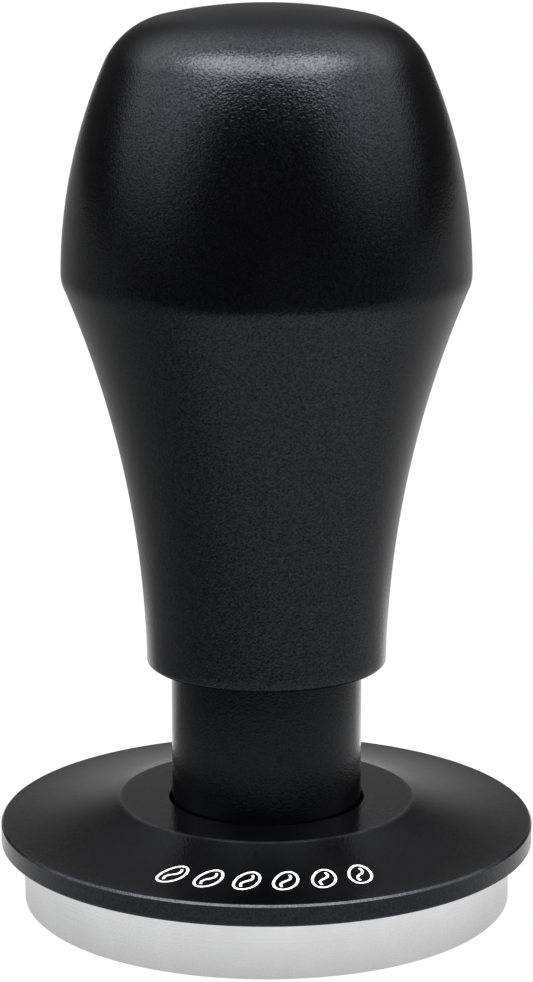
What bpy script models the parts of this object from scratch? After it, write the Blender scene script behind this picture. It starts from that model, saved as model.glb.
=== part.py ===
"""Sprung espresso tamper with a self-levelling plate.

A steel puck carries a stem that runs up into a hollow handle. A stiff spring inside the handle
rests on the stem's flange, so pressing the handle loads the puck. A levelling plate rides on a
sleeve round the stem, and a light spring keeps it down on the puck.
Metres, +Z up. The origin is the centre of the puck's flat underside.
"""

import math

import bmesh
import bpy

MM = 0.001
RADIAL_STEPS = 48  # facets round a large turned part
SMALL_STEPS = 32  # facets round a small turned part
GAP = 0.3 * MM  # drawn between pieces that touch
RUNNING = 0.1 * MM  # radial clearance of a sliding fit

# Driving dimensions
PUCK_R = 29.25 * MM
PUCK_H = 7.0 * MM
PLATE_R = 32.0 * MM
PLATE_Z = 7.4 * MM  # underside of the plate's rim
HUB_R = 17.7 * MM
HUB_TOP_Z = 12.45 * MM
SLEEVE_R = 11.37 * MM
SLEEVE_WALL = 1.7 * MM
STEM_R = 6.0 * MM
HANDLE_Z = 29.3 * MM  # handle's lower edge
HANDLE_TOP_Z = 107.2 * MM
HANDLE_MOUTH_R = 14.28 * MM
HANDLE_BELLY_R = 23.97 * MM
HANDLE_BORE_R = 12.6 * MM
HANDLE_BORE_TOP_Z = 95.8 * MM
STUD_R = 3.7 * MM  # M8 thread, drawn plain

BLACK = (0.018, 0.019, 0.022)
STEEL = (0.72, 0.72, 0.73)
SPRING_STEEL = (0.45, 0.46, 0.48)
ACETAL = (0.82, 0.81, 0.77)
NITRILE = (0.02, 0.02, 0.02)


def clear_scene():
    for obj in list(bpy.data.objects):
        bpy.data.objects.remove(obj, do_unlink=True)


def new_collection(name):
    collection = bpy.data.collections.new(name)
    bpy.context.scene.collection.children.link(collection)
    return collection


def make_material(name, colour, roughness, metallic):
    material = bpy.data.materials.new(name)
    material.use_nodes = True
    shader = material.node_tree.nodes["Principled BSDF"]
    shader.inputs["Base Color"].default_value = (*colour, 1.0)
    shader.inputs["Roughness"].default_value = roughness
    shader.inputs["Metallic"].default_value = metallic
    material.diffuse_color = (*colour, 1.0)
    return material


def arc(centre, radius, start_deg, end_deg, count):
    """Points on a circle in the (radius, height) plane, both ends included."""
    points = []
    for i in range(count + 1):
        angle = math.radians(start_deg + (end_deg - start_deg) * i / count)
        points.append((centre[0] + radius * math.cos(angle), centre[1] + radius * math.sin(angle)))
    return points


def turned(name, profile, steps=SMALL_STEPS):
    """A solid turned about Z from a closed outline, or from one that starts and ends on the axis.

    The outline runs down the outer side, top to bottom, and back up the bore.
    """
    mesh = bpy.data.meshes.new(name)
    bm = bmesh.new()
    verts = [bm.verts.new((radius, 0.0, height)) for radius, height in profile]
    for first, second in zip(verts, verts[1:]):
        bm.edges.new((first, second))
    if min(profile[0][0], profile[-1][0]) > 0.0:
        bm.edges.new((verts[-1], verts[0]))
    bm.to_mesh(mesh)
    bm.free()
    obj = bpy.data.objects.new(name, mesh)
    screw = obj.modifiers.new("turn", "SCREW")
    screw.steps = steps
    screw.render_steps = steps
    screw.use_merge_vertices = True
    screw.merge_threshold = 0.00001
    screw.use_smooth_shade = True
    return obj


def ring(name, inner, outer, low, high, chamfer=0.0, steps=SMALL_STEPS):
    """A washer or tube. The chamfer is on its outer edges."""
    outline = [(inner, high), (outer - chamfer, high)]
    if chamfer:
        outline += [(outer, high - chamfer), (outer, low + chamfer)]
    else:
        outline += [(outer, high)]
    outline += [(outer - chamfer, low), (inner, low)]
    return turned(name, outline, steps)


def o_ring(name, major, minor, height):
    bpy.ops.mesh.primitive_torus_add(
        major_radius=major,
        minor_radius=minor,
        major_segments=RADIAL_STEPS,
        minor_segments=8,
        location=(0.0, 0.0, height),
    )
    obj = bpy.context.active_object
    obj.name = name
    for collection in list(obj.users_collection):
        collection.objects.unlink(obj)
    return obj


def coil_spring(name, mean_radius, wire, low, high, turns, points_per_turn):
    """A compression spring with one closed turn at each end, as a bevelled curve."""
    closed_turns = 1.0
    closed_pitch = wire * 1.12
    bottom = low + wire / 2
    top = high - wire / 2
    open_turns = turns - 2 * closed_turns
    open_pitch = (top - bottom - 2 * closed_turns * closed_pitch) / open_turns
    curve = bpy.data.curves.new(name, "CURVE")
    curve.dimensions = "3D"
    curve.bevel_depth = wire / 2
    curve.bevel_resolution = 2
    curve.use_fill_caps = True
    spline = curve.splines.new("POLY")
    count = int(turns * points_per_turn) + 1
    spline.points.add(count - 1)
    for i in range(count):
        turn = i / points_per_turn
        lower = min(turn, closed_turns)
        middle = min(max(turn - closed_turns, 0.0), open_turns)
        upper = max(turn - closed_turns - open_turns, 0.0)
        height = bottom + (lower + upper) * closed_pitch + middle * open_pitch
        angle = 2 * math.pi * turn
        spline.points[i].co = (
            mean_radius * math.cos(angle),
            mean_radius * math.sin(angle),
            height,
            1.0,
        )
    return bpy.data.objects.new(name, curve)


def circlip(name, inner, outer, low, high, opening_deg):
    """An external retaining ring: a C-shaped flat outline, extruded."""
    half = opening_deg / 2
    steps = 20
    outline = arc((0.0, 0.0), outer, half, 360 - half, steps)
    outline += arc((0.0, 0.0), inner, 360 - half, half, steps)
    curve = bpy.data.curves.new(name, "CURVE")
    curve.dimensions = "2D"
    curve.fill_mode = "BOTH"
    curve.extrude = (high - low) / 2
    spline = curve.splines.new("POLY")
    spline.points.add(len(outline) - 1)
    for point, (x, y) in zip(spline.points, outline):
        point.co = (x, y, 0.0, 1.0)
    spline.use_cyclic_u = True
    obj = bpy.data.objects.new(name, curve)
    obj.location = (0.0, 0.0, (low + high) / 2)
    return obj


# Heights up the stem, bottom to top
BOSS_R = 8.0 * MM
BOSS_TOP_Z = 10.0 * MM
STEM_FOOT_Z = 11.4 * MM
LOWER_BUSH_Z = (11.7 * MM, 18.0 * MM)
LOWER_WASHER_Z = (18.3 * MM, 18.9 * MM)
RETURN_SPRING_Z = (19.2 * MM, 35.7 * MM)
UPPER_WASHER_Z = (36.0 * MM, 36.6 * MM)
CIRCLIP_Z = (36.9 * MM, 37.9 * MM)
SLEEVE_Z = (8.9 * MM, 38.0 * MM)
RETAINER_Z = (55.0 * MM, 59.5 * MM)
BUMPER_Z = (59.8 * MM, 60.8 * MM)
FLANGE_Z = (61.1 * MM, 66.1 * MM)
SPRING_WASHER_Z = (66.4 * MM, 67.2 * MM)
MAIN_SPRING_Z = (67.5 * MM, 91.0 * MM)
TOP_SEAT_Z = (91.3 * MM, 94.2 * MM)
THRUST_WASHER_Z = (94.5 * MM, 95.5 * MM)
MOUTH_BUSH_Z = (30.4 * MM, 36.4 * MM)
MOUTH_RING_Z = (29.5 * MM, 30.1 * MM)

FLANGE_R = 12.1 * MM
WEAR_RING_DEPTH = 1.0 * MM
WEAR_RING_Z = (62.4 * MM, 64.8 * MM)
CUSHION_GROOVE = (22.6 * MM, 24.4 * MM, 5.9 * MM)  # inner radius, outer radius, floor height
CUSHION_WIRE_R = 0.7 * MM
STUD_HOLE_R = STUD_R + GAP
STUD_Z = (3.0 * MM, 17.0 * MM)
PRESS_FIT_R = SLEEVE_R - SLEEVE_WALL - GAP  # outside of what is pressed into the sleeve
BORE_FIT_R = HANDLE_BORE_R - GAP  # outside of what is fitted into the handle's bore


def tamping_puck():
    """Steel puck with a chamfered foot, a groove for the cushion ring and a boss for the stem."""
    foot_chamfer = 0.35 * MM
    top_chamfer = 0.5 * MM
    groove_in, groove_out, groove_floor = CUSHION_GROOVE
    outline = [
        (STUD_HOLE_R, BOSS_TOP_Z),
        (BOSS_R - top_chamfer, BOSS_TOP_Z),
        (BOSS_R, BOSS_TOP_Z - top_chamfer),
        (BOSS_R, PUCK_H),
        (groove_in, PUCK_H),
        (groove_in, groove_floor),
        (groove_out, groove_floor),
        (groove_out, PUCK_H),
        (PUCK_R - top_chamfer, PUCK_H),
        (PUCK_R, PUCK_H - top_chamfer),
        (PUCK_R, foot_chamfer),
        (PUCK_R - foot_chamfer, 0.0),
        (0.0, 0.0),
    ]
    hole_floor = STUD_Z[0] - GAP
    outline = [(0.0, hole_floor), (STUD_HOLE_R, hole_floor)] + outline
    return turned("tamping_puck", outline, RADIAL_STEPS)


def stem():
    """Steel rod with the spring flange, a wear-ring groove, a circlip groove and a stud hole."""
    flange_low, flange_high = FLANGE_Z
    groove_floor = FLANGE_R - WEAR_RING_DEPTH
    clip_floor = STEM_R - 0.6 * MM
    chamfer = 0.5 * MM
    outline = [
        (0.0, flange_high),
        (FLANGE_R - chamfer, flange_high),
        (FLANGE_R, flange_high - chamfer),
        (FLANGE_R, WEAR_RING_Z[1] + GAP),
        (groove_floor, WEAR_RING_Z[1] + GAP),
        (groove_floor, WEAR_RING_Z[0] - GAP),
        (FLANGE_R, WEAR_RING_Z[0] - GAP),
        (FLANGE_R, flange_low),
        (STEM_R, flange_low),
        (STEM_R, CIRCLIP_Z[1] + 0.1 * MM),
        (clip_floor, CIRCLIP_Z[1] + 0.1 * MM),
        (clip_floor, CIRCLIP_Z[0] - 0.1 * MM),
        (STEM_R, CIRCLIP_Z[0] - 0.1 * MM),
        (STEM_R, STEM_FOOT_Z),
        (STUD_HOLE_R, STEM_FOOT_Z),
        (STUD_HOLE_R, STUD_Z[1] + GAP),
        (0.0, STUD_Z[1] + GAP),
    ]
    return turned("stem", outline)


def base_stud():
    """Threaded stud between puck and stem, with a hexagonal key socket in its top."""
    low, high = STUD_Z
    chamfer = 0.5 * MM
    outline = [
        (0.0, high),
        (STUD_R - chamfer, high),
        (STUD_R, high - chamfer),
        (STUD_R, low + chamfer),
        (STUD_R - chamfer, low),
        (0.0, low),
    ]
    return turned("base_stud", outline)


def hex_cutter(name, across_flats, depth, top):
    bpy.ops.mesh.primitive_cylinder_add(
        vertices=6,
        radius=across_flats / math.sqrt(3),
        depth=2 * depth,
        location=(0.0, 0.0, top),
    )
    obj = bpy.context.active_object
    obj.name = name
    obj.hide_render = True
    obj.display_type = "WIRE"
    for collection in list(obj.users_collection):
        collection.objects.unlink(obj)
    return obj


def pin_cutters(prefix, count, radius, pitch_radius, low, high):
    """Upright round pins on a circle, which cut spanner holes."""
    cutters = []
    for i in range(count):
        angle = 2 * math.pi * i / count
        bpy.ops.mesh.primitive_cylinder_add(
            vertices=12,
            radius=radius,
            depth=high - low,
            location=(pitch_radius * math.cos(angle), pitch_radius * math.sin(angle), (low + high) / 2),
        )
        obj = bpy.context.active_object
        obj.name = f"{prefix}_{i + 1}"
        obj.hide_render = True
        obj.display_type = "WIRE"
        for collection in list(obj.users_collection):
            collection.objects.unlink(obj)
        cutters.append(obj)
    return cutters


def cut(obj, cutters):
    for cutter in cutters:
        boolean = obj.modifiers.new("cut_" + cutter.name, "BOOLEAN")
        boolean.operation = "DIFFERENCE"
        boolean.object = cutter


def plate_slope():
    """The plate's dished top from the hub's edge out to the rim: one hollow arc."""
    rim_slope = math.radians(2.0)
    hub_slope = math.radians(18.0)
    start = PLATE_R - 0.35 * MM
    run = start - HUB_R
    radius = run / (math.sin(hub_slope) - math.sin(rim_slope))
    rise = radius * (math.cos(rim_slope) - math.cos(hub_slope))
    centre = (start + radius * math.sin(rim_slope), HUB_TOP_Z - rise + radius * math.cos(rim_slope))
    return arc(centre, radius, 270 - math.degrees(hub_slope), 270 - math.degrees(rim_slope), 7)


def levelling_plate():
    """Black flange that rests on the basket's rim: flat hub, dished top, stepped underside."""
    step_r = PUCK_R + 0.45 * MM
    step_z = PLATE_Z + 0.3 * MM
    nut_r = 13.3 * MM
    nut_z = SLEEVE_Z[0] - GAP
    bore_r = SLEEVE_R + GAP
    slope = plate_slope()
    rim_edge_z = slope[-1][1] - 0.3 * MM
    outline = [(bore_r, HUB_TOP_Z)] + slope
    outline += [
        (PLATE_R, rim_edge_z),
        (PLATE_R, PLATE_Z + 0.15 * MM),
        (PLATE_R - 0.15 * MM, PLATE_Z),
        (step_r, PLATE_Z),
        (step_r, step_z),
        (nut_r, step_z),
        (nut_r, nut_z),
        (bore_r, nut_z),
    ]
    return turned("levelling_plate", outline, RADIAL_STEPS)


def guide_sleeve():
    """Black tube that carries the plate, slides in the handle's mouth and covers the stem."""
    return ring("guide_sleeve", SLEEVE_R - SLEEVE_WALL, SLEEVE_R, *SLEEVE_Z, 0.4 * MM, RADIAL_STEPS)


def handle_outline():
    """Outer outline of the handle, top to bottom: crown, shoulder, barrel, belt and flare."""
    crown_r = 56.5 * MM
    barrel_r = 62.0 * MM
    shoulder_r = 9.5 * MM
    crown_centre = (0.0, HANDLE_TOP_Z - crown_r)
    barrel_centre = (HANDLE_BELLY_R - barrel_r, 75.5 * MM)
    shoulder = rolling_centre(crown_centre, crown_r - shoulder_r, barrel_centre, barrel_r - shoulder_r)
    crown_end = direction_deg(crown_centre, shoulder)
    barrel_start = direction_deg(barrel_centre, shoulder)

    flare_r = 122.0 * MM
    flare_z = 27.8 * MM
    flare_centre = (HANDLE_MOUTH_R + flare_r, flare_z)
    belt_z = 75.5 * MM
    belt_deg = math.degrees(math.asin((belt_z - 0.7 * MM - flare_z) / flare_r))
    mouth_deg = math.degrees(math.asin((HANDLE_Z + 0.5 * MM - flare_z) / flare_r))
    barrel_end = math.degrees(math.asin((belt_z + 0.8 * MM - barrel_centre[1]) / barrel_r))

    outline = [(0.0, HANDLE_TOP_Z)]
    outline += arc(crown_centre, crown_r, 90, crown_end, 4)[1:]
    outline += arc(shoulder, shoulder_r, crown_end, barrel_start, 5)[1:]
    outline += arc(barrel_centre, barrel_r, barrel_start, barrel_end, 8)[1:]
    outline += arc(flare_centre, flare_r, 180 - belt_deg, 180 - mouth_deg, 12)
    outline += [(HANDLE_MOUTH_R - 0.5 * MM, HANDLE_Z)]
    return outline


def rolling_centre(first, first_r, second, second_r):
    """The right-hand crossing of two circles: the centre of a round that rolls inside both."""
    dx = second[0] - first[0]
    dz = second[1] - first[1]
    apart = math.hypot(dx, dz)
    along = (first_r**2 - second_r**2 + apart**2) / (2 * apart)
    aside = math.sqrt(first_r**2 - along**2)
    options = []
    for side in (1, -1):
        x = first[0] + (along * dx - side * aside * dz) / apart
        z = first[1] + (along * dz + side * aside * dx) / apart
        options.append((x, z))
    return max(options)


def direction_deg(start, end):
    return math.degrees(math.atan2(end[1] - start[1], end[0] - start[0]))


def handle_shell():
    """Turned handle, bored from below. The bore ends in a drill point."""
    bore_chamfer = 0.4 * MM
    outline = handle_outline()
    outline += [
        (HANDLE_BORE_R + bore_chamfer, HANDLE_Z),
        (HANDLE_BORE_R, HANDLE_Z + bore_chamfer),
        (HANDLE_BORE_R, HANDLE_BORE_TOP_Z),
        (0.0, HANDLE_BORE_TOP_Z + 1.2 * MM),
    ]
    return turned("handle_shell", outline, RADIAL_STEPS)


def handle_retainer():
    """Threaded ring under the stem's flange, with four pin-spanner holes."""
    low, high = RETAINER_Z
    obj = ring("handle_retainer", STEM_R + 0.5 * MM, BORE_FIT_R, low, high, 0.3 * MM)
    cutters = pin_cutters("spanner_pin", 4, 0.9 * MM, 9.2 * MM, low - 1.0 * MM, low + 2.5 * MM)
    cut(obj, cutters)
    return obj, cutters


def top_spring_seat():
    """Cup washer that centres the main spring's upper end on a boss."""
    low, high = TOP_SEAT_Z
    boss_r = 7.0 * MM
    boss_low = low - 2.0 * MM
    outline = [
        (0.0, high),
        (11.2 * MM, high),
        (11.2 * MM, low),
        (boss_r, low),
        (boss_r, boss_low + 0.4 * MM),
        (boss_r - 0.4 * MM, boss_low),
        (0.0, boss_low),
    ]
    return turned("top_spring_seat", outline)


def build():
    clear_scene()
    tamper = new_collection("espresso_tamper")
    cutter_collection = new_collection("cutters")
    black = make_material("black_anodised", BLACK, 0.42, 0.6)
    steel = make_material("brushed_steel", STEEL, 0.28, 1.0)
    spring_steel = make_material("spring_steel", SPRING_STEEL, 0.35, 1.0)
    acetal = make_material("white_acetal", ACETAL, 0.45, 0.0)
    nitrile = make_material("black_nitrile", NITRILE, 0.7, 0.0)

    stud = base_stud()
    socket = hex_cutter("stud_socket", 4.0 * MM, 3.0 * MM, STUD_Z[1])
    cut(stud, [socket])
    retainer, retainer_pins = handle_retainer()
    for cutter in [socket, *retainer_pins]:
        cutter_collection.objects.link(cutter)

    cushion_middle = (CUSHION_GROOVE[0] + CUSHION_GROOVE[1]) / 2
    cushion_height = CUSHION_GROOVE[2] + CUSHION_WIRE_R + 0.15 * MM
    seat_hole_r = STEM_R + RUNNING
    snap_hole_r = SLEEVE_R + 2 * RUNNING
    flange_groove_r = FLANGE_R - WEAR_RING_DEPTH
    stem_lock_washer = ring("stem_lock_washer", STUD_R + GAP, 7.5 * MM, BOSS_TOP_Z + GAP, STEM_FOOT_Z - GAP)
    mouth_snap_ring = ring("mouth_snap_ring", snap_hole_r, BORE_FIT_R, *MOUTH_RING_Z, 0.0, RADIAL_STEPS)
    pieces = [
        (tamping_puck(), steel),
        (stud, spring_steel),
        (stem_lock_washer, spring_steel),
        (o_ring("plate_cushion_ring", cushion_middle, CUSHION_WIRE_R, cushion_height), nitrile),
        (stem(), steel),
        (ring("flange_wear_ring", flange_groove_r + GAP, HANDLE_BORE_R - RUNNING, *WEAR_RING_Z), acetal),
        (ring("upper_return_washer", seat_hole_r, PRESS_FIT_R, *UPPER_WASHER_Z), steel),
        (circlip("stem_circlip", STEM_R - 0.45 * MM, 8.4 * MM, *CIRCLIP_Z, 40), spring_steel),
        (ring("main_spring_washer", 2.5 * MM, 11.2 * MM, *SPRING_WASHER_Z), steel),
        (coil_spring("main_spring", 8.5 * MM, 2.2 * MM, *MAIN_SPRING_Z, 6.5, 14), spring_steel),
        (coil_spring("return_spring", 7.6 * MM, 0.8 * MM, *RETURN_SPRING_Z, 7.0, 14), spring_steel),
        (ring("lower_return_washer", seat_hole_r, PRESS_FIT_R, *LOWER_WASHER_Z), steel),
        (levelling_plate(), black),
        (guide_sleeve(), black),
        (ring("sleeve_lock_ring", 9.0 * MM, 13.0 * MM, PLATE_Z + 0.1 * MM, SLEEVE_Z[0] - 2 * GAP), steel),
        (ring("sleeve_bush", STEM_R + RUNNING, PRESS_FIT_R, *LOWER_BUSH_Z, 0.3 * MM), acetal),
        (handle_shell(), black),
        (ring("mouth_bush", SLEEVE_R + RUNNING, BORE_FIT_R, *MOUTH_BUSH_Z, 0.2 * MM, RADIAL_STEPS), acetal),
        (mouth_snap_ring, spring_steel),
        (retainer, steel),
        (ring("rebound_bumper", STEM_R + 0.6 * MM, 10.0 * MM, *BUMPER_Z), nitrile),
        (top_spring_seat(), steel),
        (ring("thrust_washer", 2.0 * MM, 11.2 * MM, *THRUST_WASHER_Z), acetal),
    ]
    for obj, material in pieces:
        obj.data.materials.clear()
        obj.data.materials.append(material)
        tamper.objects.link(obj)


build()
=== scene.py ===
"""Looks of the sprung espresso tamper: fine turned pieces, their materials, and a studio."""

import math

import bpy
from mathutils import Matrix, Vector


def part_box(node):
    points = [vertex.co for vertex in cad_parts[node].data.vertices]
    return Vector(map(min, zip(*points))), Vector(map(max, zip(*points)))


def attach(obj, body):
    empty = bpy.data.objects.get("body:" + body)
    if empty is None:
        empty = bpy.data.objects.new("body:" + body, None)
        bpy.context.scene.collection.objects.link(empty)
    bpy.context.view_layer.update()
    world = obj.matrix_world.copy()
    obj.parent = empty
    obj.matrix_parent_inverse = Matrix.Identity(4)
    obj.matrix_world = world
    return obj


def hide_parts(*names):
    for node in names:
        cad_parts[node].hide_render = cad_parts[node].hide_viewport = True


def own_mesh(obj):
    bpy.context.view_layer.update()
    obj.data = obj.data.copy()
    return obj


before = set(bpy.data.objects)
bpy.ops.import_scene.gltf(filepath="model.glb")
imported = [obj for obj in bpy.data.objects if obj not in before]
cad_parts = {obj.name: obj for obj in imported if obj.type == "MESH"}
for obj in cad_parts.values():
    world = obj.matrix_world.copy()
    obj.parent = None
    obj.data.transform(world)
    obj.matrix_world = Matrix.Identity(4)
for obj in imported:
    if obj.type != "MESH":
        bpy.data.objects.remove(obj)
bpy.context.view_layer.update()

MM = 0.001
FINE = 224  # facets round a large turned piece
MEDIUM = 128  # facets round a small turned piece
ON_AXIS = 1e-9  # a smaller radius is a point on the axis


# ---------------------------------------------------------------- meshes

ROUND_STEPS = 4  # edges across a rounded corner
LEAST_TURN_DEG = 12.0  # a gentler corner stays as it is
SHARPEST_TURN = 2.6  # radians: a sharper corner is rounded like this one
ROUND_SHARE = 0.4  # the most of a neighbouring edge that a round takes
SUPPORT_SHARE = 0.25  # how far beyond a round its supporting point lies, as a share of the round's reach


def arc(centre, radius, start_deg, end_deg, count):
    """Points on a circle in the (radius, height) plane, both ends included."""
    points = []
    for i in range(count + 1):
        angle = math.radians(start_deg + (end_deg - start_deg) * i / count)
        points.append((centre[0] + radius * math.cos(angle), centre[1] + radius * math.sin(angle)))
    return points


def soften(outline, radius):
    """Rounds each real corner of a closed outline, with a supporting point on both sides of it."""
    points = [Vector(p) for p in outline]
    rounded = []
    for i, corner in enumerate(points):
        before = corner - points[i - 1]
        after = points[(i + 1) % len(points)] - corner
        turn = abs(before.angle_signed(after, 0.0)) if before.length and after.length else 0.0
        if corner.x < ON_AXIS or math.degrees(turn) < LEAST_TURN_DEG:
            rounded.append(corner)
            continue
        room = ROUND_SHARE * min(before.length, after.length)
        reach = min(radius * math.tan(min(turn, SHARPEST_TURN) / 2), room)
        start = corner - before.normalized() * reach
        end = corner + after.normalized() * reach
        support = SUPPORT_SHARE * reach
        rounded.append(start - before.normalized() * support)
        for k in range(ROUND_STEPS + 1):
            t = k / ROUND_STEPS
            rounded.append(start * (1 - t) ** 2 + corner * 2 * t * (1 - t) + end * t * t)
        rounded.append(end + after.normalized() * support)
    return rounded


def mesh_object(name, verts, faces, sharp_deg=38.0):
    """A smooth-shaded mesh whose edges are sharp where its faces meet at more than sharp_deg."""
    mesh = bpy.data.meshes.new(name)
    mesh.from_pydata(verts, [], faces)
    mesh.validate()
    mesh.shade_smooth()
    mesh.set_sharp_from_angle(angle=math.radians(sharp_deg))
    obj = bpy.data.objects.new(name, mesh)
    bpy.context.scene.collection.objects.link(obj)
    return obj


def turned(name, outline, steps=MEDIUM):
    """A closed solid turned about Z. The outline runs down its outer side and back up the bore or axis."""
    on_axis = [radius < ON_AXIS for radius, _ in outline]
    verts = []
    first = []
    for (radius, height), axial in zip(outline, on_axis):
        first.append(len(verts))
        if axial:
            verts.append((0.0, 0.0, height))
            continue
        for j in range(steps):
            angle = 2 * math.pi * j / steps
            verts.append((radius * math.cos(angle), radius * math.sin(angle), height))
    faces = []
    for i in range(len(outline)):
        k = (i + 1) % len(outline)
        if on_axis[i] and on_axis[k]:
            continue
        for j in range(steps):
            n = (j + 1) % steps
            if on_axis[i]:
                faces.append((first[i], first[k] + j, first[k] + n))
            elif on_axis[k]:
                faces.append((first[i] + j, first[k], first[i] + n))
            else:
                faces.append((first[i] + j, first[k] + j, first[k] + n, first[i] + n))
    return mesh_object(name, verts, faces)


def swept(path, frames, section, closed):
    """Vertices and faces of a section (2-D points) carried along a path in the given frames."""
    verts = []
    for centre, (side, up) in zip(path, frames):
        verts += [centre + side * u + up * v for u, v in section]
    sides = len(section)
    rows = len(path)
    faces = []
    for i in range(rows if closed else rows - 1):
        k = (i + 1) % rows
        for j in range(sides):
            n = (j + 1) % sides
            faces.append((i * sides + j, i * sides + n, k * sides + n, k * sides + j))
    if not closed:
        faces.append(tuple(reversed(range(sides))))
        faces.append(tuple((rows - 1) * sides + j for j in range(sides)))
    return verts, faces


def rolling_centre(first, first_r, second, second_r):
    """The right-hand crossing of two circles: the centre of a round that rolls inside both."""
    dx = second[0] - first[0]
    dz = second[1] - first[1]
    apart = math.hypot(dx, dz)
    along = (first_r**2 - second_r**2 + apart**2) / (2 * apart)
    aside = math.sqrt(first_r**2 - along**2)
    options = []
    for side in (1, -1):
        x = first[0] + (along * dx - side * aside * dz) / apart
        z = first[1] + (along * dz + side * aside * dx) / apart
        options.append((x, z))
    return max(options)


def direction_deg(start, end):
    """The direction from start to end in the (radius, height) plane."""
    return math.degrees(math.atan2(end[1] - start[1], end[0] - start[0]))


# ---------------------------------------------------------------- materials


def add_node(tree, kind, inputs=None, **properties):
    """A node with the given input values and properties."""
    node = tree.nodes.new(kind)
    for key, value in properties.items():
        setattr(node, key, value)
    for key, value in (inputs or {}).items():
        node.inputs[key].default_value = value
    return node


def new_material(name):
    """A material with its node tree and its Principled shader."""
    material = bpy.data.materials.new(name)
    material.use_nodes = True
    tree = material.node_tree
    return material, tree, tree.nodes["Principled BSDF"]


def object_noise(tree, scale, detail=3.0, roughness=0.55, vector=None):
    """Noise of the given scale (cells in a metre) on the piece, or on another vector."""
    if vector is None:
        vector = add_node(tree, "ShaderNodeTexCoord").outputs["Object"]
    noise = add_node(tree, "ShaderNodeTexNoise", {"Scale": scale, "Detail": detail, "Roughness": roughness})
    tree.links.new(vector, noise.inputs["Vector"])
    return noise.outputs["Fac"]


def ranged(tree, source, low, high, from_low=0.3, from_high=0.7):
    """Maps from_low..from_high onto low..high, and no further. The default span is a noise's usual one."""
    node = add_node(
        tree,
        "ShaderNodeMapRange",
        {"From Min": from_low, "From Max": from_high, "To Min": low, "To Max": high},
    )
    tree.links.new(source, node.inputs["Value"])
    return node.outputs["Result"]


def blended_colour(tree, factor, dark, light):
    """Dark at 0 and light at 1."""
    mix = add_node(tree, "ShaderNodeMix", data_type="RGBA")
    mix.inputs["A"].default_value = (*dark, 1.0)
    mix.inputs["B"].default_value = (*light, 1.0)
    tree.links.new(factor, mix.inputs["Factor"])
    return mix.outputs["Result"]


def bumped(tree, shader, heights):
    """Chains bumps, each (height socket, strength, depth in metres), into the shader's normal."""
    normal = None
    for height, strength, depth in heights:
        bump = add_node(tree, "ShaderNodeBump", {"Strength": strength, "Distance": depth})
        tree.links.new(height, bump.inputs["Height"])
        if normal is not None:
            tree.links.new(normal, bump.inputs["Normal"])
        normal = bump.outputs["Normal"]
    tree.links.new(normal, shader.inputs["Normal"])


def maths(tree, operation, *operands):
    """A math node on sockets and plain numbers."""
    node = add_node(tree, "ShaderNodeMath", operation=operation)
    for i, operand in enumerate(operands):
        if isinstance(operand, (int, float)):
            node.inputs[i].default_value = operand
        else:
            tree.links.new(operand, node.inputs[i])
    return node.outputs["Value"]


def faded(tree, source, off, full):
    """0 at off, 1 at full, with a soft passage between."""
    node = add_node(tree, "ShaderNodeMapRange", interpolation_type="SMOOTHSTEP")
    node.inputs["From Min"].default_value = off
    node.inputs["From Max"].default_value = full
    tree.links.new(source, node.inputs["Value"])
    return node.outputs["Result"]


def vector_length(tree, vector):
    node = add_node(tree, "ShaderNodeVectorMath", operation="LENGTH")
    tree.links.new(vector, node.inputs[0])
    return node.outputs["Value"]


def turned_coordinates(tree):
    """Vectors that are constant round the axis, so a noise in them draws turning lines."""
    position = add_node(tree, "ShaderNodeTexCoord").outputs["Object"]
    parts = add_node(tree, "ShaderNodeSeparateXYZ")
    tree.links.new(position, parts.inputs["Vector"])
    flat = add_node(tree, "ShaderNodeCombineXYZ")
    tree.links.new(parts.outputs["X"], flat.inputs["X"])
    tree.links.new(parts.outputs["Y"], flat.inputs["Y"])
    joined = add_node(tree, "ShaderNodeCombineXYZ")
    tree.links.new(vector_length(tree, flat.outputs["Vector"]), joined.inputs["X"])
    tree.links.new(parts.outputs["Z"], joined.inputs["Z"])
    return joined.outputs["Vector"]


GRAIN_SCALE = 3600.0  # the bead-blasted grain
PIT_SCALE = 2600.0  # the coarser pits between the grains
GRAIN_DEPTH = 0.03 * MM
EDGE_HIGHLIGHT_REACH = 0.45 * MM  # how far from an edge the painted highlight starts
EDGE_HIGHLIGHT_FULL = 0.1 * MM  # how far from an edge the painted highlight is strongest
# painted edge highlight: this lighter colour stands in for the light that the edges catch
EDGE_HIGHLIGHT_COLOUR = (0.010, 0.010, 0.011, 1.0)
ANODISED_TINT = (0.95, 0.995, 1.085)


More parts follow.
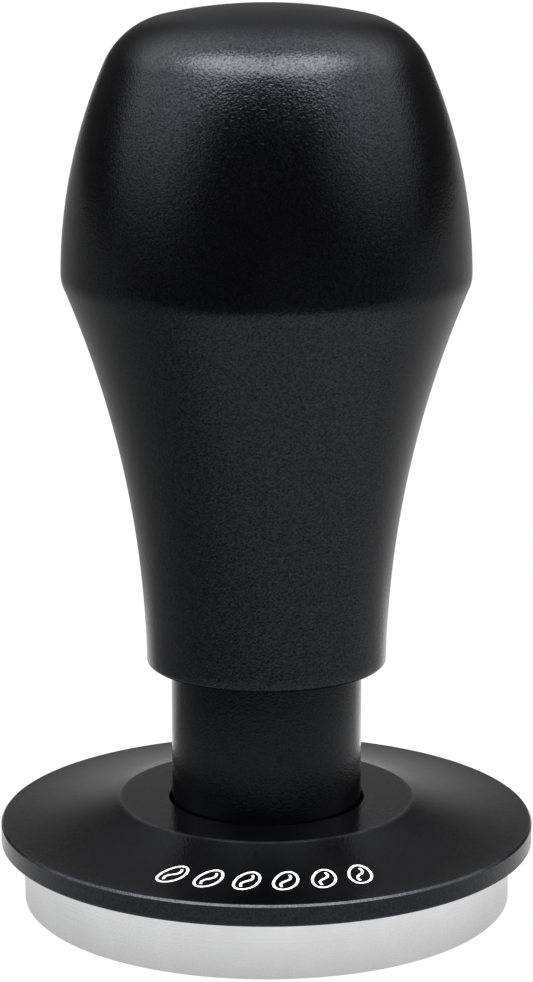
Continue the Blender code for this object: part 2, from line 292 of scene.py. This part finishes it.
def black_anodised(name, ior, speckle, edges):
    """Bead-blasted aluminium under black anodising: a fine grain, with a painted highlight that lightens
    its edges.

    speckle is how far the gloss varies from grain to grain, and the edges are (radius, height) circles
    round the axis.
    """
    material, tree, shader = new_material(name)
    patches = ranged(tree, object_noise(tree, 90.0), 0.0, 1.0)
    body = blended_colour(tree, patches, (0.0007, 0.0007, 0.0009), (0.0013, 0.0013, 0.0016))
    turned_position = turned_coordinates(tree)
    # painted highlight: a lighter colour in noisy patches along each edge stands in for the light the edges
    # catch
    edge_highlight = None
    for radius, height in edges:
        away = add_node(tree, "ShaderNodeVectorMath", operation="DISTANCE")
        away.inputs[1].default_value = (radius, 0.0, height)
        tree.links.new(turned_position, away.inputs[0])
        near = faded(tree, away.outputs["Value"], EDGE_HIGHLIGHT_REACH, EDGE_HIGHLIGHT_FULL)
        edge_highlight = near if edge_highlight is None else maths(tree, "MAXIMUM", edge_highlight, near)
    patchy_highlight = maths(tree, "MULTIPLY", edge_highlight, ranged(tree, object_noise(tree, 600.0), 0.2, 1.0))
    highlighted = add_node(tree, "ShaderNodeMix", data_type="RGBA")
    highlighted.inputs["B"].default_value = EDGE_HIGHLIGHT_COLOUR
    tree.links.new(body, highlighted.inputs["A"])
    tree.links.new(patchy_highlight, highlighted.inputs["Factor"])
    tree.links.new(highlighted.outputs["Result"], shader.inputs["Base Color"])
    grain = object_noise(tree, GRAIN_SCALE, 2.0, 0.6)
    tree.links.new(ranged(tree, grain, 0.12, 0.20), shader.inputs["Roughness"])
    dull = [(1 - speckle) * channel for channel in ANODISED_TINT]
    bright = [(1 + speckle) * channel for channel in ANODISED_TINT]
    glint = blended_colour(tree, ranged(tree, grain, 0.0, 1.0), dull, bright)
    tree.links.new(glint, shader.inputs["Specular Tint"])
    shader.inputs["IOR"].default_value = ior
    pits = object_noise(tree, PIT_SCALE, 2.0, 0.6)
    bumped(tree, shader, [(pits, 0.5, GRAIN_DEPTH), (grain, 1.0, GRAIN_DEPTH)])
    return material


def turned_steel(name, dark, light, rough_low, rough_high):
    """Satin stainless steel with the fine lines that turning leaves."""
    material, tree, shader = new_material(name)
    rings = turned_coordinates(tree)
    lines = object_noise(tree, 7000.0, 2.0, 0.6, rings)
    broad = object_noise(tree, 500.0, 2.0, 0.5, rings)
    smears = object_noise(tree, 160.0, 3.0, 0.6)
    shader.inputs["Metallic"].default_value = 1.0
    colour = blended_colour(tree, ranged(tree, smears, 0.0, 1.0), dark, light)
    tree.links.new(colour, shader.inputs["Base Color"])
    tree.links.new(ranged(tree, lines, rough_low, rough_high), shader.inputs["Roughness"])
    bumped(tree, shader, [(broad, 0.1, 0.02 * MM), (lines, 0.25, 0.006 * MM)])
    return material


def spring_wire(name):
    """Drawn spring wire: darker, oily, with fine pits."""
    material, tree, shader = new_material(name)
    patches = object_noise(tree, 700.0)
    pits = object_noise(tree, 6000.0)
    shader.inputs["Metallic"].default_value = 1.0
    colour = blended_colour(tree, ranged(tree, patches, 0.0, 1.0), (0.30, 0.31, 0.33), (0.46, 0.47, 0.49))
    tree.links.new(colour, shader.inputs["Base Color"])
    tree.links.new(ranged(tree, patches, 0.25, 0.42), shader.inputs["Roughness"])
    bumped(tree, shader, [(pits, 0.3, 0.01 * MM)])
    return material


def acetal(name):
    """Natural acetal: milky, faintly waxy, with turning lines."""
    material, tree, shader = new_material(name)
    rings = object_noise(tree, 4000.0, 2.0, 0.6, turned_coordinates(tree))
    cloud = object_noise(tree, 300.0)
    colour = blended_colour(tree, ranged(tree, cloud, 0.0, 1.0), (0.74, 0.73, 0.68), (0.84, 0.83, 0.79))
    tree.links.new(colour, shader.inputs["Base Color"])
    tree.links.new(ranged(tree, rings, 0.36, 0.5), shader.inputs["Roughness"])
    shader.inputs["Subsurface Weight"].default_value = 0.15
    shader.inputs["Subsurface Scale"].default_value = 1.0 * MM
    bumped(tree, shader, [(rings, 0.25, 0.01 * MM)])
    return material


def nitrile(name):
    """Matte black rubber with a dusty bloom."""
    material, tree, shader = new_material(name)
    bloom = object_noise(tree, 1200.0)
    pores = object_noise(tree, 7000.0)
    dusty = ranged(tree, bloom, 0.0, 1.0)
    colour = blended_colour(tree, dusty, (0.012, 0.012, 0.012), (0.028, 0.028, 0.027))
    tree.links.new(colour, shader.inputs["Base Color"])
    tree.links.new(ranged(tree, bloom, 0.6, 0.8), shader.inputs["Roughness"])
    bumped(tree, shader, [(pores, 0.5, 0.02 * MM)])
    return material


def white_ink(name):
    """Off-white marking, a little uneven over the blasted grain."""
    material, tree, shader = new_material(name)
    speckle = object_noise(tree, 5200.0)
    colour = blended_colour(tree, ranged(tree, speckle, 0.0, 1.0), (0.50, 0.50, 0.51), (0.60, 0.60, 0.61))
    tree.links.new(colour, shader.inputs["Base Color"])
    tree.links.new(ranged(tree, speckle, 0.5, 0.65), shader.inputs["Roughness"])
    bumped(tree, shader, [(speckle, 0.3, 0.01 * MM)])
    return material


MOUTH_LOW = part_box("handle_shell")[0].z
PLATE_LOW, PLATE_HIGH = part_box("levelling_plate")
HUB_R = 17.7 * MM
HANDLE_BLACK = black_anodised("handle_black", 1.32, 0.58, [(14.3 * MM, MOUTH_LOW)])
SLEEVE_BLACK = black_anodised("sleeve_black", 1.25, 0.28, [(11.4 * MM, 38.0 * MM)])
PLATE_EDGES = [
    (PLATE_HIGH.x - 0.1 * MM, PLATE_LOW.z + 2.5 * MM),  # the rim's upper edge
    (PLATE_HIGH.x, PLATE_LOW.z),
    (HUB_R, PLATE_HIGH.z),
]
PLATE_BLACK = black_anodised("plate_black", 1.32, 0.38, PLATE_EDGES)
PUCK_STEEL = turned_steel("puck_steel", (0.71, 0.71, 0.715), (0.77, 0.77, 0.775), 0.22, 0.32)
INNER_STEEL = turned_steel("inner_steel", (0.55, 0.55, 0.56), (0.66, 0.66, 0.66), 0.25, 0.4)
WIRE = spring_wire("spring_wire")
ACETAL = acetal("natural_acetal")
NITRILE = nitrile("black_nitrile")
MARK_WHITE = white_ink("mark_white")


def place(obj, node, body, material):
    """Gives a piece its material and its body, and hides the CAD node that it stands for."""
    obj.data.materials.append(material)
    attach(obj, body)
    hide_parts(node)
    return obj


# ---------------------------------------------------------------- handle


def build_handle():
    """Crown, shoulder, barrel, belt and flare as arcs that run into each other, and the blind bore."""
    low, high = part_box("handle_shell")
    belly_r = high.x
    crown_r = 56.5 * MM
    barrel_r = 62.0 * MM
    shoulder_r = 9.5 * MM
    barrel_z = 75.5 * MM
    crown_centre = (0.0, high.z - crown_r)
    barrel_centre = (belly_r - barrel_r, barrel_z)
    shoulder = rolling_centre(crown_centre, crown_r - shoulder_r, barrel_centre, barrel_r - shoulder_r)
    crown_end = direction_deg(crown_centre, shoulder)
    barrel_start = direction_deg(barrel_centre, shoulder)

    mouth_r = 14.28 * MM
    flare_r = 122.0 * MM
    flare_z = 27.8 * MM
    flare_centre = (mouth_r + flare_r, flare_z)
    belt_r = 4.0 * MM
    belt = rolling_centre(barrel_centre, barrel_r - belt_r, flare_centre, flare_r + belt_r)
    barrel_end = direction_deg(barrel_centre, belt)
    belt_end = direction_deg(flare_centre, belt)
    mouth_edge = 0.45 * MM
    edge_z = low.z + mouth_edge
    mouth_deg = 180 - math.degrees(math.asin((edge_z - flare_z) / flare_r))
    flare_start_deg = belt_end % 360

    bore_r = 12.6 * MM
    bore_top = 95.8 * MM
    bore_edge = 0.4 * MM
    drill_tip = 1.2 * MM
    outline = [(0.0, high.z)]
    outline += arc(crown_centre, crown_r, 90, crown_end, 16)[1:]
    outline += arc(shoulder, shoulder_r, crown_end, barrel_start, 18)[1:]
    outline += arc(barrel_centre, barrel_r, barrel_start, barrel_end, 26)[1:]
    outline += arc(belt, belt_r, barrel_end, flare_start_deg - 180, 8)[1:]
    outline += arc(flare_centre, flare_r, flare_start_deg, mouth_deg, 44)[1:]
    edge_r = outline[-1][0]
    outline += arc((edge_r - mouth_edge, edge_z), mouth_edge, 0, -90, 5)[1:]
    outline += [
        (bore_r + bore_edge, low.z),
        (bore_r, low.z + bore_edge),
        (bore_r, bore_top),
        (0.0, bore_top + drill_tip),
    ]
    obj = turned("handle_body", outline, FINE)
    return place(obj, "handle_shell", "handle", HANDLE_BLACK)


# ---------------------------------------------------------------- sleeve, plate and puck


def build_sleeve():
    low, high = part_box("guide_sleeve")
    wall = 1.7 * MM
    outer = high.x
    outline = [(outer - wall, high.z), (outer, high.z), (outer, low.z), (outer - wall, low.z)]
    obj = turned("sleeve_tube", soften(outline, 0.4 * MM), FINE)
    return place(obj, "guide_sleeve", "plate", SLEEVE_BLACK)


RIM_SLOPE_DEG = 2.0
RIM_EDGE = 0.22 * MM  # how far the rim's broken edge runs in
HUB_SLOPE_DEG = 18.0


def plate_arc():
    """Centre and radius of the hollow arc from the hub's edge to the rim's edge."""
    start = PLATE_HIGH.x - RIM_EDGE
    rim_slope = math.radians(RIM_SLOPE_DEG)
    hub_slope = math.radians(HUB_SLOPE_DEG)
    radius = (start - HUB_R) / (math.sin(hub_slope) - math.sin(rim_slope))
    rise = radius * (math.cos(rim_slope) - math.cos(hub_slope))
    centre = (start + radius * math.sin(rim_slope), PLATE_HIGH.z - rise + radius * math.cos(rim_slope))
    return centre, radius


def build_plate():
    low, high = PLATE_LOW, PLATE_HIGH
    centre, radius = plate_arc()
    slope = arc(centre, radius, 270 - HUB_SLOPE_DEG, 270 - RIM_SLOPE_DEG, 36)
    sleeve_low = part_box("guide_sleeve")[0].z
    bore_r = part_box("guide_sleeve")[1].x + 0.3 * MM
    nut_r = 13.3 * MM
    nut_z = sleeve_low - 0.3 * MM
    step_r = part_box("tamping_puck")[1].x + 0.45 * MM
    step_z = low.z + 0.3 * MM
    hub_edge = 0.12 * MM
    small_edge = 0.15 * MM
    outline = [(bore_r, high.z - small_edge), (bore_r + small_edge, high.z)]
    outline += [(HUB_R - 4 * hub_edge, high.z), (HUB_R - hub_edge, high.z)]
    outline += slope
    outline += [
        (high.x, slope[-1][1] - 1.2 * RIM_EDGE),
        (high.x, low.z + small_edge),
        (high.x - small_edge, low.z),
        (step_r, low.z),
        (step_r, step_z),
        (nut_r, step_z),
        (nut_r, nut_z),
        (bore_r, nut_z),
    ]
    obj = turned("plate_disc", soften(outline, 0.06 * MM), FINE)
    return place(obj, "levelling_plate", "plate", PLATE_BLACK)


def build_puck():
    low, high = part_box("tamping_puck")
    top = 7.0 * MM
    groove_in = 22.6 * MM
    groove_out = 24.4 * MM
    groove_z = 5.9 * MM
    boss_r = 8.0 * MM
    hole_r = 4.0 * MM
    hole_z = 2.7 * MM
    top_edge = 0.5 * MM
    foot_edge = 0.35 * MM
    outline = [
        (0.0, hole_z),
        (hole_r, hole_z),
        (hole_r, high.z),
        (boss_r - top_edge, high.z),
        (boss_r, high.z - top_edge),
        (boss_r, top),
        (groove_in, top),
        (groove_in, groove_z),
        (groove_out, groove_z),
        (groove_out, top),
        (high.x - top_edge, top),
        (high.x, top - top_edge),
        (high.x, low.z + foot_edge),
        (high.x - foot_edge, low.z),
        (0.0, low.z),
    ]
    obj = turned("puck_disc", soften(outline, 0.12 * MM), FINE)
    return place(obj, "tamping_puck", "base", PUCK_STEEL)


# ---------------------------------------------------------------- marking


MARK_R = 25.7 * MM  # distance of the marking from the axis
BEANS = 6
BEAN_PITCH = 4.4 * MM
BEAN_HALF_LENGTH = 2.1 * MM
BEAN_HALF_WIDTH = 1.3 * MM
BEAN_TILT = math.radians(22.0)
STROKE = 0.31 * MM
INK = 0.03 * MM  # how far the marking stands out of the surface
OUTLINE_POINTS = 40
CREASE_STEPS = 16


def bean_strokes():
    """The strokes of one coffee bean as (points, closed): its outline and the S-shaped crease."""
    outline = []
    for i in range(OUTLINE_POINTS):
        angle = 2 * math.pi * i / OUTLINE_POINTS
        outline.append((BEAN_HALF_WIDTH * math.cos(angle), BEAN_HALF_LENGTH * math.sin(angle)))
    crease = []
    for i in range(CREASE_STEPS + 1):
        t = i / CREASE_STEPS * 2 - 1
        crease.append((0.26 * BEAN_HALF_WIDTH * math.sin(math.pi * t), 0.7 * BEAN_HALF_LENGTH * t))
    return [(outline, True), (crease, False)]


def on_slope(along, up):
    """The point of the plate's slope that is along to the right and up the slope from the mark's middle."""
    centre, radius = plate_arc()
    ring_r = MARK_R - up
    height = centre[1] - math.sqrt(radius**2 - (centre[0] - ring_r) ** 2)
    angle = along / MARK_R - math.pi / 2
    normal = Vector((centre[0] - ring_r, centre[1] - height)).normalized()
    point = Vector((ring_r * math.cos(angle), ring_r * math.sin(angle), height))
    out = Vector((normal.x * math.cos(angle), normal.x * math.sin(angle), normal.y))
    return point, out


def build_mark():
    """A row of plain coffee beans in place of lettering."""
    verts = []
    faces = []
    section = [(-STROKE / 2, -INK), (STROKE / 2, -INK), (STROKE / 2, INK), (-STROKE / 2, INK)]
    for bean in range(BEANS):
        middle = (bean - (BEANS - 1) / 2) * BEAN_PITCH
        for points, closed in bean_strokes():
            laid = []
            for x, y in points:
                turned_x = x * math.cos(BEAN_TILT) + y * math.sin(BEAN_TILT)
                turned_y = y * math.cos(BEAN_TILT) - x * math.sin(BEAN_TILT)
                laid.append(on_slope(middle + turned_x, turned_y))
            path = [point for point, _ in laid]
            frames = []
            for i, (point, out) in enumerate(laid):
                if closed:
                    along = path[(i + 1) % len(path)] - path[i - 1]
                else:
                    along = path[min(i + 1, len(path) - 1)] - path[max(i - 1, 0)]
                frames.append((out.cross(along).normalized(), out))
            more_verts, more_faces = swept(path, frames, section, closed)
            faces += [tuple(len(verts) + v for v in face) for face in more_faces]
            verts += more_verts
    obj = mesh_object("plate_mark", [tuple(v) for v in verts], faces)
    obj.data.materials.append(MARK_WHITE)
    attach(obj, "plate")
    return obj


# ---------------------------------------------------------------- springs


STEPS_PER_TURN = 64
WIRE_SIDES = 20
CLOSED_PITCH = 1.06  # of the end turns, in wire diameters
GROUND_DEPTH = 0.32  # how far the end turns' middle lies from the ground ends, in wire diameters
WIRE_SHARP_DEG = 50.0


def build_spring(node, name, mean_r, wire, turns):
    """A compression spring with one closed turn, ground flat, at each end."""
    low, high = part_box(node)
    closed_pitch = wire * CLOSED_PITCH
    bottom = low.z + GROUND_DEPTH * wire
    top = high.z - GROUND_DEPTH * wire
    open_turns = turns - 2
    open_pitch = (top - bottom - 2 * closed_pitch) / open_turns
    path = []
    for i in range(int(turns * STEPS_PER_TURN) + 1):
        turn = i / STEPS_PER_TURN
        ends = min(turn, 1.0) + max(turn - 1.0 - open_turns, 0.0)
        middle = min(max(turn - 1.0, 0.0), open_turns)
        angle = 2 * math.pi * turn
        height = bottom + ends * closed_pitch + middle * open_pitch
        path.append(Vector((mean_r * math.cos(angle), mean_r * math.sin(angle), height)))
    frames = []
    for i, point in enumerate(path):
        along = path[min(i + 1, len(path) - 1)] - path[max(i - 1, 0)]
        outward = Vector((point.x, point.y, 0.0)).normalized()
        frames.append((outward, along.cross(outward).normalized()))
    section = arc((0.0, 0.0), wire / 2, 0, 360, WIRE_SIDES)[:-1]
    verts, faces = swept(path, frames, section, False)
    ground = [(v.x, v.y, min(max(v.z, low.z), high.z)) for v in verts]
    obj = mesh_object(name, ground, faces, WIRE_SHARP_DEG)
    place(obj, node, "base", WIRE)
    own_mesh(obj)
    return obj


# ---------------------------------------------------------------- inner pieces


RING_EDGE = 0.12 * MM


def build_ring(node, name, inner, body, material):
    """A washer, bush or ring of the given inner radius, with its edges just broken."""
    low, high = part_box(node)
    outline = [(inner, high.z), (high.x, high.z), (high.x, low.z), (inner, low.z)]
    obj = turned(name, soften(outline, RING_EDGE))
    return place(obj, node, body, material)


# node, piece, inner radius, body, material
RINGS = [
    ("stem_lock_washer", "lock_washer", 4.0 * MM, "base", WIRE),
    ("flange_wear_ring", "wear_ring", 11.4 * MM, "base", ACETAL),
    ("upper_return_washer", "upper_washer", 6.1 * MM, "base", INNER_STEEL),
    ("main_spring_washer", "main_washer", 2.5 * MM, "base", INNER_STEEL),
    ("lower_return_washer", "lower_washer", 6.1 * MM, "plate_carrier", INNER_STEEL),
    ("sleeve_lock_ring", "lock_ring", 9.0 * MM, "plate", INNER_STEEL),
    ("sleeve_bush", "lower_bush", 6.1 * MM, "plate", ACETAL),
    ("mouth_bush", "upper_bush", 11.47 * MM, "handle", ACETAL),
    ("mouth_snap_ring", "snap_ring", 11.57 * MM, "handle", WIRE),
    ("rebound_bumper", "bumper_ring", 6.6 * MM, "handle", NITRILE),
    ("thrust_washer", "thrust_ring", 2.0 * MM, "handle", ACETAL),
]

# CAD nodes whose shape stays, and their material
KEPT_NODES = [
    ("base_stud", WIRE),
    ("plate_cushion_ring", NITRILE),
    ("stem", INNER_STEEL),
    ("stem_circlip", WIRE),
    ("handle_retainer", INNER_STEEL),
    ("top_spring_seat", INNER_STEEL),
]


# ---------------------------------------------------------------- studio


FLOOR_HALF = 6.0
FLOOR_GLOW = 1.0

# The card over the floor: its level near the object, behind it, and beyond at left and right
FLOOR_NEAR = 1.04
FLOOR_REAR = 0.6
FLOOR_LEFT = 0.39
FLOOR_RIGHT = 0.6
FLOOR_FADE = 0.7  # how much of that is left far from the object
CARD_HEIGHT = 0.05 * MM
CARD_OVERLAP = 0.3 * MM  # how far the card runs in under the foot's chamfer
CARD_STEPS = 64
POOL_CENTRE = (0.015, -0.02, 0.0)
POOL_SIZE = (0.095, 0.105, 1.0)
REAR_CENTRE = (0.0, 0.088, 0.0)
REAR_SIZE = (0.10, 0.05, 1.0)

BACK_CARD = 0.42  # level of the card behind the object
BACK_HALF_WIDTH = 0.11
BACK_HEIGHT = 0.10
BACK_DISTANCE = 0.3

KEY_LIGHT = 13.0
SIDE_LIGHT = 2.8
WORLD_DIM = 0.06  # everywhere else
WORLD_BACK = 0.15  # low behind the object

# The edges of the key light on a ceiling one unit up, each from dark to lit
KEY_SIDES = (1.25, 0.38)
KEY_REAR = (-0.26, -0.41)
KEY_FRONT = (-1.04, -0.84)
KEY_BEND = 0.4  # how far the key light's rear edge bends towards the front at its sides
HORIZON = 0.05  # the least rise that a direction is given


def glowing(name):
    """A material that only glows, with its tree and its emission node."""
    material = bpy.data.materials.new(name)
    material.use_nodes = True
    tree = material.node_tree
    tree.nodes.clear()
    glow = add_node(tree, "ShaderNodeEmission")
    out = add_node(tree, "ShaderNodeOutputMaterial")
    tree.links.new(glow.outputs["Emission"], out.inputs["Surface"])
    return material, tree, glow


def hide_from_camera(card, material):
    card.data.materials.append(material)
    card.visible_camera = False


def build_floor():
    half = FLOOR_HALF
    verts = [(-half, -half, 0.0), (half, -half, 0.0), (half, half, 0.0), (-half, half, 0.0)]
    floor = mesh_object("floor", verts, [(0, 1, 2, 3)])
    material, _, shader = new_material("floor_white")
    shader.inputs["Base Color"].default_value = (0.05, 0.05, 0.05, 1.0)
    shader.inputs["Emission Color"].default_value = (1.0, 1.0, 1.0, 1.0)
    shader.inputs["Emission Strength"].default_value = FLOOR_GLOW
    shader.inputs["Roughness"].default_value = 0.9
    shader.inputs["Specular IOR Level"].default_value = 0.1
    floor.data.materials.append(material)


def from_centre(tree, position, centre, size):
    """How far a position is from the centre of an ellipse, where 1 is its edge."""
    ellipse = add_node(tree, "ShaderNodeMapping", vector_type="TEXTURE")
    ellipse.inputs["Location"].default_value = centre
    ellipse.inputs["Scale"].default_value = size
    tree.links.new(position, ellipse.inputs["Vector"])
    return vector_length(tree, ellipse.outputs["Vector"])


def card_strength(tree):
    """Bright in a pool near the object, dimmer at its foot (a painted contact shadow) and beyond, and most
    so at left and in front.
    """
    position = add_node(tree, "ShaderNodeTexCoord").outputs["Object"]
    parts = add_node(tree, "ShaderNodeSeparateXYZ")
    tree.links.new(position, parts.inputs["Vector"])
    across = parts.outputs["X"]
    distance = vector_length(tree, position)

    beyond = ranged(tree, across, FLOOR_LEFT, FLOOR_RIGHT, -0.08, 0.08)
    beyond = maths(tree, "MULTIPLY", beyond, ranged(tree, distance, 1.0, FLOOR_FADE, 0.15, 0.5))
    beyond = maths(tree, "MULTIPLY", beyond, ranged(tree, parts.outputs["Y"], 0.4, 1.0, -0.13, -0.09))

    # painted contact shadow: both dimmings towards the foot stand in for the shade the object casts on the
    # floor
    near = maths(tree, "MULTIPLY", ranged(tree, distance, 0.8, 1.0, 0.03, 0.055), FLOOR_NEAR)
    near = maths(tree, "MULTIPLY", near, ranged(tree, across, 0.97, 1.06, -0.04, 0.04))
    near = maths(tree, "MULTIPLY", near, ranged(tree, distance, 0.75, 1.0, 0.0292, 0.044))

    strength = add_node(tree, "ShaderNodeMix", data_type="FLOAT")
    in_pool = faded(tree, from_centre(tree, position, POOL_CENTRE, POOL_SIZE), 1.0, 0.75)
    tree.links.new(in_pool, strength.inputs["Factor"])
    tree.links.new(beyond, strength.inputs["A"])
    tree.links.new(near, strength.inputs["B"])
    in_rear = faded(tree, from_centre(tree, position, REAR_CENTRE, REAR_SIZE), 1.0, 0.6)
    return maths(tree, "ADD", strength.outputs["Result"], maths(tree, "MULTIPLY", in_rear, FLOOR_REAR))


def build_surround():
    """A ring-shaped card just over the floor, from the foot outwards, which only reflections show."""
    verts = []
    for radius in (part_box("tamping_puck")[1].x - CARD_OVERLAP, FLOOR_HALF):
        for j in range(CARD_STEPS):
            angle = 2 * math.pi * j / CARD_STEPS
            verts.append((radius * math.cos(angle), radius * math.sin(angle), CARD_HEIGHT))
    faces = []
    for j in range(CARD_STEPS):
        n = (j + 1) % CARD_STEPS
        faces.append((j, CARD_STEPS + j, CARD_STEPS + n, n))
    card = mesh_object("surround", verts, faces)
    material, tree, glow = glowing("surround")
    tree.links.new(card_strength(tree), glow.inputs["Strength"])
    hide_from_camera(card, material)


def build_back_card():
    """A low glowing card behind the object, which only reflections show."""
    corners = [
        (-BACK_HALF_WIDTH, BACK_DISTANCE, 0.0),
        (BACK_HALF_WIDTH, BACK_DISTANCE, 0.0),
        (BACK_HALF_WIDTH, BACK_DISTANCE, BACK_HEIGHT),
        (-BACK_HALF_WIDTH, BACK_DISTANCE, BACK_HEIGHT),
    ]
    card = mesh_object("back_card", corners, [(0, 1, 2, 3)])
    material, _, glow = glowing("back_card")
    glow.inputs["Strength"].default_value = BACK_CARD
    hide_from_camera(card, material)


def key_strength(tree, across, along, bent):
    """A broad soft light, overhead and in front."""
    key = maths(tree, "MULTIPLY", faded(tree, across, *KEY_SIDES), faded(tree, bent, *KEY_REAR))
    key = maths(tree, "MULTIPLY", key, faded(tree, along, *KEY_FRONT))
    return maths(tree, "MULTIPLY", key, KEY_LIGHT)


def side_strength(tree, across, along, bent):
    """The glow at both sides, which fades with the distance across, behind, and straight ahead."""
    spread = maths(tree, "POWER", maths(tree, "DIVIDE", maths(tree, "MAXIMUM", across, 1.5), 1.5), -1.15)
    behind = maths(tree, "MAXIMUM", maths(tree, "SUBTRACT", bent, 0.1), 0.0)
    behind = maths(tree, "EXPONENT", maths(tree, "DIVIDE", behind, -0.38))
    ahead = maths(tree, "MAXIMUM", maths(tree, "MULTIPLY", along, -1.0), 0.01)
    ahead = maths(tree, "DIVIDE", maths(tree, "ADD", across, 0.3), ahead)
    side = maths(tree, "MULTIPLY", spread, behind)
    side = maths(tree, "MULTIPLY", side, ranged(tree, ahead, 0.0, 1.0, 0.75, 2.3))
    return maths(tree, "MULTIPLY", side, SIDE_LIGHT)


def build_world():
    """The key light, the glow at both sides and dim surroundings, with plain white for the camera."""
    world = bpy.data.worlds.new("studio")
    bpy.context.scene.world = world
    world.use_nodes = True
    tree = world.node_tree
    tree.nodes.clear()
    direction = add_node(tree, "ShaderNodeTexCoord").outputs["Generated"]
    parts = add_node(tree, "ShaderNodeSeparateXYZ")
    tree.links.new(direction, parts.inputs["Vector"])

    # Where the direction meets a ceiling one unit up, which is negative along Y in front of the object
    rise = maths(tree, "MAXIMUM", parts.outputs["Z"], HORIZON)
    across = maths(tree, "ABSOLUTE", maths(tree, "DIVIDE", parts.outputs["X"], rise))
    along = maths(tree, "DIVIDE", parts.outputs["Y"], rise)
    bend = maths(tree, "MULTIPLY", maths(tree, "MINIMUM", across, 1.0), KEY_BEND)
    bent = maths(tree, "SUBTRACT", along, bend)

    aside = maths(tree, "ABSOLUTE", parts.outputs["X"])
    behind = faded(tree, parts.outputs["Y"], 0.2, 0.8)
    backdrop = maths(tree, "MULTIPLY", faded(tree, aside, 0.32, 0.08), behind)
    dim = ranged(tree, backdrop, WORLD_DIM, WORLD_BACK, 0.0, 1.0)
    key = key_strength(tree, across, along, bent)
    side = side_strength(tree, across, along, bent)
    lit = maths(tree, "ADD", maths(tree, "ADD", key, side), dim)

    seen = add_node(tree, "ShaderNodeLightPath").outputs["Is Camera Ray"]
    strength = add_node(tree, "ShaderNodeMix", data_type="FLOAT")
    strength.inputs["B"].default_value = 1.0
    tree.links.new(seen, strength.inputs["Factor"])
    tree.links.new(lit, strength.inputs["A"])
    background = add_node(tree, "ShaderNodeBackground", {"Color": (1.0, 1.0, 1.0, 1.0)})
    tree.links.new(strength.outputs["Result"], background.inputs["Strength"])
    out = add_node(tree, "ShaderNodeOutputWorld")
    tree.links.new(background.outputs["Background"], out.inputs["Surface"])


VIEW_TARGET = Vector((0.0, 0.0, 0.05003))
VIEW_DISTANCE = 0.37866
VIEW_PITCH_DEG = 12.77
LENS = 117.37  # millimetres
SENSOR = 36.0  # millimetres


def build_camera():
    """The viewpoint is 379 mm from the object's middle and looks down 12.8 degrees."""
    pitch = math.radians(VIEW_PITCH_DEG)
    camera = bpy.data.cameras.new("camera")
    camera.lens = LENS
    camera.sensor_width = SENSOR
    camera.clip_start = 0.01
    camera.dof.use_dof = False
    obj = bpy.data.objects.new("camera", camera)
    bpy.context.scene.collection.objects.link(obj)
    obj.location = VIEW_TARGET + Vector((0.0, -math.cos(pitch), math.sin(pitch))) * VIEW_DISTANCE
    obj.rotation_euler = (VIEW_TARGET - obj.location).to_track_quat("-Z", "Y").to_euler()
    bpy.context.scene.camera = obj
    bpy.context.scene.view_settings.view_transform = "Standard"


# ---------------------------------------------------------------- the whole


build_handle()
build_sleeve()
build_plate()
build_puck()
build_mark()
build_spring(
    "main_spring",
    "main_spring_coil",
    mean_r=8.5 * MM,
    wire=2.2 * MM,
    turns=6.5,
)
build_spring(
    "return_spring",
    "return_spring_coil",
    mean_r=7.6 * MM,
    wire=0.8 * MM,
    turns=7.0,
)
for ring in RINGS:
    build_ring(*ring)
for node, material in KEPT_NODES:
    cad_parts[node].data.materials.clear()
    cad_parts[node].data.materials.append(material)

build_floor()
build_surround()
build_back_card()
build_world()
build_camera()
